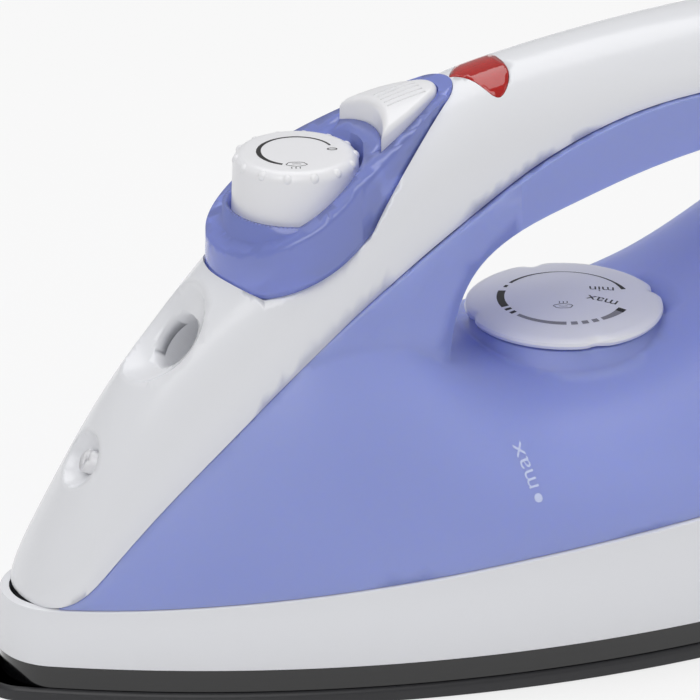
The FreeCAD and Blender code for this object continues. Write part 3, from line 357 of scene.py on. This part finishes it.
buildBase()
shells = ["upper_cover", "tank_shell", "soleplate", "control_collar", "rear_cover", "filler_throat",
          "spray_nozzle", "cord_swivel", "tank_floor", "lamp_lens", "tank_lid"]
made = {node: smoothCopy(node) for node in shells}
for node, thing in frame["nodes"].items():
    thing.data.materials.clear()
    thing.data.materials.append(finishes[slotOf[node]])
made["filler_throat"].data.materials[0] = finishes["white_shell"]
print("shells made")


# steam knob
knob = {"foot": 104.2, "footRadius": 15.6, "top": 124.6, "radius": 14.9, "round": 2.8,
        "shaft": 4.0, "shaftFoot": 97.0, "studs": 14, "studSize": 1.35, "studDrop": 1.75, "studTurn": 0.11,
        "studSink": 1.15, "printRadius": 8.8}


# Turns (radius, height) pairs, in millimetres, about an upright axis
def lathe(name, profile, centre, steps=128):
    points, faces, rows = [], [], len(profile)
    for radius, height in profile:
        for i in range(steps):
            a = 2 * math.pi * i / steps
            x, y = centre[0] + radius * mm * math.cos(a), centre[1] + radius * mm * math.sin(a)
            points.append((x, y, height * mm))
    for row in range(rows - 1):
        for i in range(steps):
            j = (i + 1) % steps
            faces.append((row * steps + i, row * steps + j, (row + 1) * steps + j, (row + 1) * steps + i))
    faces += [tuple(range(steps)), tuple(range((rows - 1) * steps, rows * steps))]
    return meshFrom(name, points, faces)


# Runs a Geometry Nodes tree with its named inputs and gives back a plain mesh
def bakeNodes(name, tree, values):
    holder = bpy.data.objects.new(name, bpy.data.meshes.new(name))
    bpy.context.collection.objects.link(holder)
    modifier = holder.modifiers.new(name, "NODES")
    modifier.node_group = tree
    for item in tree.interface.items_tree:
        if item.item_type == "SOCKET" and item.in_out == "INPUT" and item.name in values:
            modifier[item.identifier] = values[item.name]
    graph = bpy.context.evaluated_depsgraph_get()
    mesh = bpy.data.meshes.new_from_object(holder.evaluated_get(graph))
    bpy.data.objects.remove(holder)
    return mesh


def newTree(name, inputs):
    tree = bpy.data.node_groups.new(name, "GeometryNodeTree")
    tree.interface.new_socket("Geometry", in_out="OUTPUT", socket_type="NodeSocketGeometry")
    for label, kind in inputs.items():
        tree.interface.new_socket(label, in_out="INPUT", socket_type="NodeSocket" + kind)
    return tree, tree.nodes.new("NodeGroupInput").outputs, tree.nodes.new("NodeGroupOutput").inputs


def endTree(tree, geometry, material, target):
    real = addNode(tree, "GeometryNodeRealizeInstances", {"Geometry": geometry})
    smooth = addNode(tree, "GeometryNodeSetShadeSmooth", {"Geometry": real.outputs["Geometry"]})
    last = addNode(tree, "GeometryNodeSetMaterial",
                   {"Geometry": smooth.outputs["Geometry"], "Material": material})
    tree.links.new(last.outputs["Geometry"], target["Geometry"])


# Domed studs on a circle
def studRing(material):
    sizes = {"Count": "Int", "Radius": "Float", "Height": "Float", "Size": "Float"}
    tree, given, target = newTree("studRing", sizes)
    circle = addNode(tree, "GeometryNodeMeshCircle", {"Vertices": given["Count"], "Radius": given["Radius"]})
    lift = addNode(tree, "ShaderNodeCombineXYZ", {"Z": given["Height"]})
    raised = addNode(tree, "GeometryNodeSetPosition",
                     {"Geometry": circle.outputs["Mesh"], "Offset": lift.outputs[0]})
    stud = addNode(tree, "GeometryNodeMeshUVSphere", {"Segments": 20, "Rings": 12, "Radius": given["Size"]})
    copies = addNode(tree, "GeometryNodeInstanceOnPoints", {"Points": raised.outputs["Geometry"],
                                                           "Instance": stud.outputs["Mesh"]})
    endTree(tree, copies.outputs["Instances"], material, target)
    return tree


# Fine parallel ribs, side by side along Y
def ribRow(material):
    sizes = {"Count": "Int", "Spacing": "Float", "Length": "Float", "Width": "Float"}
    tree, given, target = newTree("ribRow", sizes)
    step = addNode(tree, "ShaderNodeCombineXYZ", {"Y": given["Spacing"]})
    row = addNode(tree, "GeometryNodeMeshLine", {"Count": given["Count"], "Offset": step.outputs[0]})
    size = addNode(tree, "ShaderNodeCombineXYZ",
                   {"X": given["Length"], "Y": given["Width"], "Z": given["Width"]})
    rib = addNode(tree, "GeometryNodeMeshCube", {"Size": size.outputs[0], "Vertices X": 12})
    copies = addNode(tree, "GeometryNodeInstanceOnPoints",
                     {"Points": row.outputs["Mesh"], "Instance": rib.outputs["Mesh"]})
    endTree(tree, copies.outputs["Instances"], material, target)
    return tree


# Quarter-round from a side wall onto a top face, as (radius, height) pairs
def rounding(radius, height, size, steps=8):
    turn = [math.pi / 2 * i / steps for i in range(steps + 1)]
    return [(radius - size + size * math.cos(a), height - size + size * math.sin(a)) for a in turn]


def buildKnob():
    axis = joints["steam_knob_turn"]["pos_m"]
    k = knob
    slope = (k["footRadius"] - k["radius"]) / (k["top"] - k["round"] - k["foot"])
    profile = [(k["shaft"], k["shaftFoot"]), (k["shaft"], k["foot"])]
    profile += [(k["footRadius"] - 0.4, k["foot"]), (k["footRadius"], k["foot"] + 0.4)]
    profile += [(k["footRadius"] - slope * 9, k["foot"] + 9)] + rounding(k["radius"], k["top"], k["round"])
    profile += [(6.0, k["top"] + 0.02), (0.3, k["top"] + 0.02)]
    body = addPiece("knobBody", lathe("knobBody", profile, axis), finishes["white_controls"], "steam_knob",
                    "white_controls", "steam_knob")
    values = {"Count": k["studs"], "Radius": (k["radius"] - k["studSink"]) * mm,
              "Height": (k["top"] - k["studDrop"]) * mm, "Size": k["studSize"] * mm}
    studs = bakeNodes("knobStuds", studRing(finishes["white_controls"]), values)
    studs.transform(Matrix.Translation((axis[0], axis[1], 0)) @ Matrix.Rotation(k["studTurn"], 4, "Z"))
    addPiece("knobStuds", studs, finishes["white_controls"], "steam_knob", "white_controls")
    return body


made["steam_knob"] = buildKnob()


dial = {"radius": 24.4, "foot": 69.7, "top": 74.2, "crown": 1.5, "scallops": 8, "scallopDepth": 1.3,
        "scallopFrom": 18.5, "sharpness": 14, "turn": 0.5}


def buildDial():
    axis, d = joints["temperature_dial_turn"]["pos_m"], dial
    profile = [(0.3, d["foot"]), (22.6, d["foot"]), (23.9, 70.2), (d["radius"], 71.1), (24.2, 71.9)]
    profile += [(23.2, 72.6)]
    domed = (22, 20.5, 19, 17, 14, 11, 8, 5, 2.5, 0.3)
    profile += [(r, d["top"] - d["crown"] * (r / 22.5) ** 2) for r in domed]
    mesh = lathe("dialBody", profile, axis, 240)
    for v in mesh.vertices:
        x, y = v.co.x - axis[0], v.co.y - axis[1]
        r, a = math.hypot(x, y), math.atan2(y, x)
        share = min(1.0, max(0.0, (r / mm - d["scallopFrom"]) / (d["radius"] - d["scallopFrom"])))
        notch = max(0.0, math.cos(d["scallops"] * a / 2 + d["turn"])) ** d["sharpness"]
        pinch = d["scallopDepth"] * notch * share * share
        v.co.x, v.co.y = axis[0] + x * (1 - pinch * mm / r), axis[1] + y * (1 - pinch * mm / r)
        v.co.z -= 0.5 * pinch * mm * share if v.co.z > 71.5 * mm else 0
    return addPiece("dialBody", mesh, finishes["white_controls"], "temperature_dial", "white_controls",
                    "temperature_dial")


made["temperature_dial"] = buildDial()
print("knob made")


# spray button
button = {"front": 20.4, "half": 11.6, "tail": 119.2, "tailRadius": 5.6, "bulge": 0.8, "foot": 124.4,
          "edge": 1.5, "crown": 34.0, "topLine": [(95, 130.5), (103.4, 133.4), (112, 135.4), (122, 136.8)],
          "ribs": {"count": 5, "spacing": 1.9, "length": 10.0, "width": 0.28, "x": 110.0}}


# Points on the arc from a through m to b
def arcPoints(a, m, b, steps):
    ax, ay, bx, by, cx, cy = a[0], a[1], m[0], m[1], b[0], b[1]
    d = 2 * (ax * (by - cy) + bx * (cy - ay) + cx * (ay - by))
    aa, bb, cc = ax * ax + ay * ay, bx * bx + by * by, cx * cx + cy * cy
    ux = (aa * (by - cy) + bb * (cy - ay) + cc * (ay - by)) / d
    uy = (aa * (cx - bx) + bb * (ax - cx) + cc * (bx - ax)) / d
    r = math.hypot(ax - ux, ay - uy)
    start, middle, end = (math.atan2(p[1] - uy, p[0] - ux) for p in (a, m, b))
    sweep = (end - start) % (2 * math.pi)
    if (middle - start) % (2 * math.pi) > sweep:
        sweep -= 2 * math.pi
    turn = [start + sweep * i / steps for i in range(steps)]
    return [(ux + r * math.cos(angle), uy + r * math.sin(angle)) for angle in turn]


# Concave front, bowed sides and a round tail
def buttonOutline(inset):
    knobX = joints["steam_knob_turn"]["pos_m"][0] / mm - shiftX
    a, b, r = button["half"] - inset, button["tailRadius"] - inset, button["front"] + inset
    frontX, far = knobX + math.sqrt(r * r - a * a), button["tail"] - button["tailRadius"]
    side = math.atan2(a - b, far - frontX)
    tail = (far + b * math.sin(side), b * math.cos(side))
    mid = ((frontX + tail[0]) / 2 + button["bulge"] * math.sin(side),
           (a + tail[1]) / 2 + button["bulge"] * math.cos(side))
    points = arcPoints((frontX, -a), (knobX + r, 0), (frontX, a), 24) + arcPoints((frontX, a), mid, tail, 16)
    points += arcPoints(tail, (far + b, 0), (tail[0], -tail[1]), 24)
    return points + arcPoints((tail[0], -tail[1]), (mid[0], -mid[1]), (frontX, -a), 16)


def buildButton():
    top = lambda x, y: smoothLine(button["topLine"], x) - y * y / (2 * button["crown"])
    e, rows = button["edge"], [[(x, y, button["foot"]) for x, y in buttonOutline(0)]]
    for i in range(7):
        a = math.pi / 2 * i / 6
        ring = buttonOutline(e * (1 - math.cos(a)))
        rows.append([(x, y, top(x, y) - e * (1 - math.sin(a))) for x, y in ring])
    centre = (110.5, 0.0)
    for share in (0.85, 0.68, 0.5, 0.32, 0.15):
        rows.append([(centre[0] + (x - centre[0]) * share, y * share, 0) for x, y, z in rows[7]])
        rows[-1] = [(x, y, top(x, y)) for x, y, z in rows[-1]]
    points = [world(*p) for row in rows for p in row]
    count, faces = len(rows[0]), []
    for row in range(len(rows) - 1):
        low, high = row * count, (row + 1) * count
        faces += [(low + i, low + (i + 1) % count, high + (i + 1) % count, high + i) for i in range(count)]
    faces += [tuple(range(count)), tuple(range((len(rows) - 1) * count, len(rows) * count))]
    cap = addPiece("buttonCap", meshFrom("buttonCap", points, faces, 50), finishes["white_controls"],
                   "spray_button", "white_controls", "spray_button")
    r = button["ribs"]
    sizes = {"Count": r["count"], "Spacing": r["spacing"] * mm, "Length": r["length"] * mm,
             "Width": r["width"] * mm}
    mesh = bakeNodes("buttonRibs", ribRow(finishes["white_controls"]), sizes)
    for v in mesh.vertices:
        x, y = r["x"] + v.co.x / mm, v.co.y / mm - r["spacing"] * (r["count"] - 1) / 2
        v.co = world(x, y, top(x, y) + v.co.z / mm)
    addPiece("buttonRibs", mesh, finishes["white_controls"], "spray_button", "white_controls")
    stem = lathe("buttonPlunger", [(1.8, 110.0), (1.8, 124.6)], world(112.0, 0, 0), 32)
    addPiece("buttonPlunger", stem, finishes["white_controls"], "spray_button", "white_controls")
    return cap


made["spray_button"] = buildButton()
print("button made")


# printed scales and marks
def surfaceOf(piece):
    mesh = piece.data
    faces = [tuple(p.vertices) for p in mesh.polygons]
    return BVHTree.FromPolygons([v.co.copy() for v in mesh.vertices], faces)


# Moves a flat mark along direction onto a piece's surface, standing a hair proud
def drape(mesh, piece, direction, lift=0.03):
    tree, along = surfaceOf(piece), Vector(direction)
    for v in mesh.vertices:
        hit = tree.ray_cast(v.co - along * 0.2, along)[0]
        if hit:
            v.co = hit - along * lift * mm
    mesh.update()
    return mesh


# Flat band along (x, y) points in metres
def ribbon(name, path, widths):
    points, faces = [], []
    for i, (x, y) in enumerate(path):
        a, b = path[max(i - 1, 0)], path[min(i + 1, len(path) - 1)]
        dx, dy = b[0] - a[0], b[1] - a[1]
        size = math.hypot(dx, dy) or 1.0
        w = widths[i] / 2
        points += [(x - dy / size * w, y + dx / size * w, 0), (x + dy / size * w, y - dx / size * w, 0)]
    faces = [(2 * i, 2 * i + 1, 2 * i + 3, 2 * i + 2) for i in range(len(path) - 1)]
    mesh = bpy.data.meshes.new(name)
    mesh.from_pydata(points, [], faces)
    return mesh


# Part of a printed ring, its angles in degrees from the rear, seen from above
def scaleArc(name, centre, radius, start, end, width, widthEnd=None):
    steps = max(3, int(abs(end - start) / 3))
    turn = [math.radians(start + (end - start) * i / steps) for i in range(steps + 1)]
    path = [(centre[0] + radius * mm * math.cos(a), centre[1] + radius * mm * math.sin(a)) for a in turn]
    last = width if widthEnd is None else widthEnd
    return ribbon(name, path, [(width + (last - width) * i / steps) * mm for i in range(steps + 1)])


def joined(name, meshes):
    work = bmesh.new()
    for mesh in meshes:
        work.from_mesh(mesh)
    out = bpy.data.meshes.new(name)
    work.to_mesh(out)
    work.free()
    return out


# Plain sans-serif word as a mesh, centred, then put in place by a matrix
def wordMesh(name, text, size, place):
    curve = bpy.data.curves.new(name, "FONT")
    curve.body, curve.size, curve.align_x, curve.align_y = text, size * mm, "CENTER", "CENTER"
    curve.resolution_u = 6
    holder = bpy.data.objects.new(name, curve)
    bpy.context.collection.objects.link(holder)
    mesh = bpy.data.meshes.new_from_object(holder.evaluated_get(bpy.context.evaluated_depsgraph_get()))
    bpy.data.objects.remove(holder)
    mesh.transform(place)
    return mesh


# Matrix of a word lying flat at that radius and angle, its baseline turned by turn degrees
def flatPlace(centre, radius, angle, turn):
    a = math.radians(angle)
    spot = (centre[0] + radius * mm * math.cos(a), centre[1] + radius * mm * math.sin(a), 0)
    return Matrix.Translation(spot) @ Matrix.Rotation(math.radians(turn), 4, "Z")


# Cloud outline with three strokes of steam
def steamIcon(name, size, place):
    loop = []
    for i in range(61):
        a = 2 * math.pi * i / 60
        r = 1 + 0.14 * abs(math.sin(2.5 * a + 0.6))
        loop.append((size * mm * r * math.cos(a), size * 0.52 * mm * r * math.sin(a)))
    parts = [ribbon(name, loop, [0.22 * mm] * 61)]
    line = [(size * mm * t, -size * 0.08 * mm * (1 - t * t * 4)) for t in (-0.5, -0.25, 0, 0.25, 0.5)]
    parts.append(ribbon(name, line, [0.2 * mm] * 5))
    for shift in (-0.45, 0.0, 0.45):
        wave = [(size * mm * (shift + 0.07 * math.sin(3 * t)), size * mm * (0.75 + 0.5 * t))
                for t in (0, 0.33, 0.66, 1)]
        parts.append(ribbon(name, wave, [0.2 * mm] * 4))
    mesh = joined(name, parts)
    mesh.transform(place)
    return mesh


dialScale = {"radius": 15.6, "view": -25.0,
             "black": [(152, 157, 0.9, 0.9), (165, 201, 1.9, 1.9), (205, 209, 1.7, 1.7), (213, 217, 1.6, 1.6),
                       (18, 36, 1.3, 0.6), (36, 90, 0.6, 0.3), (90, 146, 0.3, 0.9), (327, 334, 2.1, 2.1)],
             "grey": [(222, 270, 1.1, 1.5), (274, 280, 1.5, 1.5), (284, 290, 1.5, 1.5), (294, 300, 1.5, 1.5),
                      (304, 327, 1.3, 2.0)]}


def buildPrints():
    down = (0, 0, -1)
    dialAxis, turned = joints["temperature_dial_turn"]["pos_m"], dialScale["view"]
    r = dialScale["radius"]
    arcs = [scaleArc("arc", dialAxis, r, a + turned, b + turned, w, v) for a, b, w, v in dialScale["black"]]
    words = [wordMesh("minWord", "min", 4.4, flatPlace(dialAxis, 10.3, 24 + turned, 180 + turned)),
             wordMesh("maxWord", "max", 4.8, flatPlace(dialAxis, 9.6, -17 + turned, 158 + turned)),
             steamIcon("dialSteam", 2.1, flatPlace(dialAxis, 6.6, 266 + turned, turned))]
    black = drape(joined("dialScaleBlack", arcs + words), made["temperature_dial"], down)
    addPiece("dialScaleBlack", black, inkBlack, "temperature_dial", "white_controls")
    arcs = [scaleArc("arc", dialAxis, r, a + turned, b + turned, w, v) for a, b, w, v in dialScale["grey"]]
    grey = drape(joined("dialScaleGrey", arcs), made["temperature_dial"], down)
    addPiece("dialScaleGrey", grey, inkGrey, "temperature_dial", "white_controls")

    axis = joints["steam_knob_turn"]["pos_m"]
    marks = [scaleArc("arc", axis, knob["printRadius"], 24 + turned, 120 + turned, 0.55, 0.6),
             scaleArc("arc", axis, knob["printRadius"], 120 + turned, 190 + turned, 0.6, 1.2),
             scaleArc("arc", axis, knob["printRadius"], 190 + turned, 250 + turned, 1.2, 0.8),
             wordMesh("zero", "0", 3.6, flatPlace(axis, knob["printRadius"], 8 + turned, 90 + turned)),
             steamIcon("knobSteam", 2.2, flatPlace(axis, knob["printRadius"] - 0.6, 272 + turned,
                                                   180 + turned))]
    knobPrint = drape(joined("knobScale", marks), made["steam_knob"], down)
    addPiece("knobScale", knobPrint, inkBlack, "steam_knob", "white_controls")

    side = Matrix(((-0.13, -0.99, 0, 0), (0, 0, -1, 0), (0.99, -0.13, 0, 0), (0, 0, 0, 1)))
    level = [wordMesh("levelWord", "max", 5.4, Matrix.Translation(world(122.0, -60, 53.6)) @ side)]
    dot = [(0, 0, 0)] + [(r * mm * math.cos(a * math.pi / 12), r * mm * math.sin(a * math.pi / 12), 0)
                         for r in (0.5, 1.0) for a in range(24)]
    fan = [(0, 1 + a, 1 + (a + 1) % 24) for a in range(24)]
    fan += [(1 + a, 25 + a, 25 + (a + 1) % 24, 1 + (a + 1) % 24) for a in range(24)]
    dotMesh = bpy.data.meshes.new("levelDot")
    dotMesh.from_pydata(dot, [], fan)
    dotMesh.transform(Matrix.Translation(world(123.4, -60, 47.2)) @ side)
    mark = drape(joined("levelMark", level + [dotMesh]), made["tank_shell"], (0, 1, 0), 0.07)
    addPiece("levelMark", mark, inkPale, "iron_body", "blue_tank")


buildPrints()
print("prints made")


# studio
def addStudio():
    floorMesh = bpy.data.meshes.new("floor")
    half, level = 4.0, -0.0003
    corners = [(-half, -half, level), (half, -half, level), (half, half, level), (-half, half, level)]
    floorMesh.from_pydata(corners, [], [(0, 1, 2, 3)])
    floor = bpy.data.objects.new("floor", floorMesh)
    bpy.context.collection.objects.link(floor)
    material, tree, shader, _ = startMaterial("paintedBoard")
    shader.inputs["Base Color"].default_value = linear("F2F2F2")
    setShader(shader, roughness=0.8)
    path = addNode(tree, "ShaderNodeLightPath")
    rays = path.outputs
    seen = addNode(tree, "ShaderNodeMath", {0: rays["Is Camera Ray"], 1: rays["Is Glossy Ray"]},
                   operation="MAXIMUM")
    seen = addNode(tree, "ShaderNodeMath", {0: seen.outputs[0], 1: rays["Is Transmission Ray"]},
                   operation="MAXIMUM")
    glow = addNode(tree, "ShaderNodeEmission", {"Color": (1, 1, 1, 1), "Strength": 1.0})
    share = addNode(tree, "ShaderNodeMath", {0: seen.outputs[0], 1: 0.72}, operation="MULTIPLY")
    mix = addNode(tree, "ShaderNodeMixShader",
                  {"Fac": share.outputs[0], 1: shader.outputs[0], 2: glow.outputs[0]})
    tree.links.new(mix.outputs[0], tree.nodes["Material Output"].inputs["Surface"])
    floor.data.materials.append(material)

    backdrop = bpy.data.worlds.new("studio")
    bpy.context.scene.world = backdrop
    backdrop.use_nodes = True
    tree = backdrop.node_tree
    path = addNode(tree, "ShaderNodeLightPath")
    rays = path.outputs
    seen = addNode(tree, "ShaderNodeMath", {0: rays["Is Camera Ray"], 1: rays["Is Transmission Ray"]},
                   operation="MAXIMUM")
    strength = addNode(tree, "ShaderNodeMapRange", {"Value": seen.outputs[0], "To Min": 0.36, "To Max": 1.0})
    tree.links.new(strength.outputs["Result"], tree.nodes["Background"].inputs["Strength"])
    tree.nodes["Background"].inputs["Color"].default_value = (1, 1, 1, 1)
    addLamp("keyLight", (-0.9, -0.9, 1.5), 1.3, 13.0)
    addLamp("fillLight", (1.3, -1.2, 0.7), 1.5, 4.0)
    addLamp("topLight", (0.2, 0.5, 1.7), 1.4, 12.0)


addCamera()
addStudio()
scene = bpy.context.scene
scene.view_settings.view_transform = "Standard"
print("studio ready")
